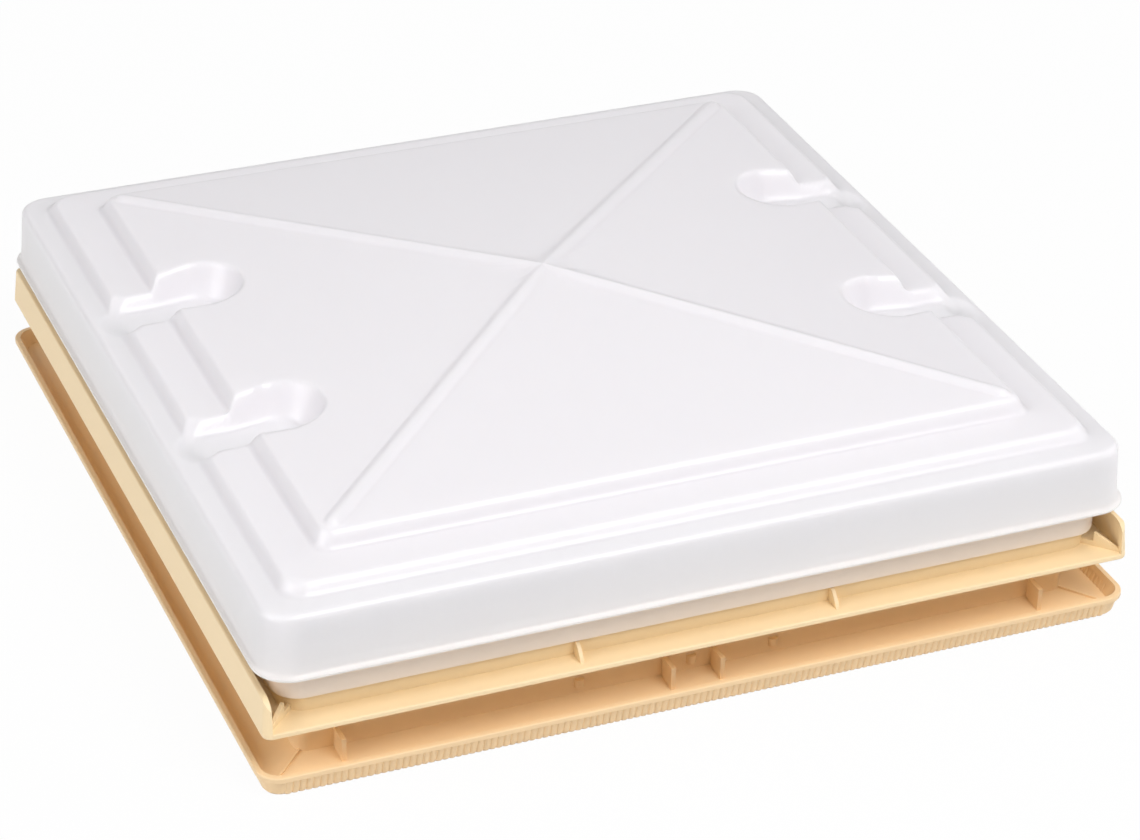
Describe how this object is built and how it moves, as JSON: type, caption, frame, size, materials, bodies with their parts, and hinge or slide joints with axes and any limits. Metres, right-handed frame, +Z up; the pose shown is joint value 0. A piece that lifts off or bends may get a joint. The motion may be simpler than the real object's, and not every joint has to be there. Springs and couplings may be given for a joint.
{
  "type": "roof hatch",
  "caption": "Push-up roof hatch for a caravan: opal double dome, beige flange and trim, grips, wire stay bows and flyscreen.",
  "frame": {"origin": "centre of the trim's base, where the closed hatch stands", "axes": "+Z up out of the roof, +X to the right along the open near side of the flange, near side at -Y"},
  "size_m": [0.4444, 0.4444, 0.1238],
  "materials": {
    "frame_plastic": "moulded satin",
    "fitting_plastic": "moulded matt",
    "opal_acrylic": "satin gloss",
    "clear_liner": "gloss",
    "zinc_steel": "zinc plated",
    "rubber": "matt",
    "screen_mesh": "woven"
  },
  "bodies": {
    "frame": {"lower_frame": "frame_plastic", "upper_frame": "frame_plastic", "frame_screws": "zinc_steel", "weather_seal": "rubber", "left_keeper": "fitting_plastic", "right_keeper": "fitting_plastic", "keeper_screws": "zinc_steel", "front_stay_clip": "fitting_plastic", "back_stay_clip": "fitting_plastic", "stay_clip_screws": "zinc_steel", "flyscreen_frame": "frame_plastic", "flyscreen_net": "screen_mesh", "flyscreen_clips": "zinc_steel"},
    "dome": {"outer_dome": "opal_acrylic", "inner_dome": "clear_liner", "bracket_screws": "zinc_steel", "left_front_hinge_bracket": "fitting_plastic", "left_back_hinge_bracket": "fitting_plastic", "right_front_hinge_bracket": "fitting_plastic", "right_back_hinge_bracket": "fitting_plastic"},
    "left_grip_bar": {"left_grip": "fitting_plastic", "left_hinge_pins": "zinc_steel", "left_guide_screws": "zinc_steel", "left_button_screws": "zinc_steel", "left_front_stay_guide": "fitting_plastic", "left_back_stay_guide": "fitting_plastic"},
    "left_bow": {"left_stay_bow": "zinc_steel"},
    "left_front_button": {"left_front_turn_button": "fitting_plastic"},
    "left_back_button": {"left_back_turn_button": "fitting_plastic"},
    "right_grip_bar": {"right_grip": "fitting_plastic", "right_hinge_pins": "zinc_steel", "right_guide_screws": "zinc_steel", "right_button_screws": "zinc_steel", "right_front_stay_guide": "fitting_plastic", "right_back_stay_guide": "fitting_plastic"},
    "right_bow": {"right_stay_bow": "zinc_steel"},
    "right_front_button": {"right_front_turn_button": "fitting_plastic"},
    "right_back_button": {"right_back_turn_button": "fitting_plastic"}
  },
  "joints": [
    {"name": "right_side_lift", "type": "hinge", "parent": "frame", "child": "right_grip_bar", "pos_m": [-0.186, 0, 0.038], "axis": [0, -1, 0], "range_deg": [0, 12]},
    {"name": "left_side_lift", "type": "hinge", "parent": "right_grip_bar", "child": "dome", "pos_m": [0.186, 0, 0.038], "axis": [0, 1, 0], "range_deg": [0, 12]},
    {"name": "left_grip_level", "type": "hinge", "parent": "dome", "child": "left_grip_bar", "pos_m": [-0.186, 0, 0.038], "axis": [0, 1, 0], "range_deg": [0, 12]},
    {"name": "right_bow_swing", "type": "hinge", "parent": "frame", "child": "right_bow", "pos_m": [0.015, 0, 0.032], "axis": [0, -1, 0], "range_deg": [0, 28]},
    {"name": "left_bow_swing", "type": "hinge", "parent": "frame", "child": "left_bow", "pos_m": [-0.015, 0, 0.032], "axis": [0, 1, 0], "range_deg": [0, 28]},
    {"name": "left_front_button_turn", "type": "hinge", "parent": "left_grip_bar", "child": "left_front_button", "pos_m": [-0.1815, -0.022, 0.02], "axis": [0, 0, 1], "range_deg": [0, 90]},
    {"name": "left_back_button_turn", "type": "hinge", "parent": "left_grip_bar", "child": "left_back_button", "pos_m": [-0.1815, 0.022, 0.02], "axis": [0, 0, 1], "range_deg": [0, 90]},
    {"name": "right_front_button_turn", "type": "hinge", "parent": "right_grip_bar", "child": "right_front_button", "pos_m": [0.1815, -0.022, 0.02], "axis": [0, 0, 1], "range_deg": [0, 90]},
    {"name": "right_back_button_turn", "type": "hinge", "parent": "right_grip_bar", "child": "right_back_button", "pos_m": [0.1815, 0.022, 0.02], "axis": [0, 0, 1], "range_deg": [0, 90]}
  ],
  "couplings": [
    {"joint": "left_grip_level", "follows": "right_side_lift", "ratio": 1},
    {"joint": "right_bow_swing", "follows": "right_side_lift", "ratio": 2.32},
    {"joint": "left_bow_swing", "follows": "left_side_lift", "ratio": 2.32}
  ]
}
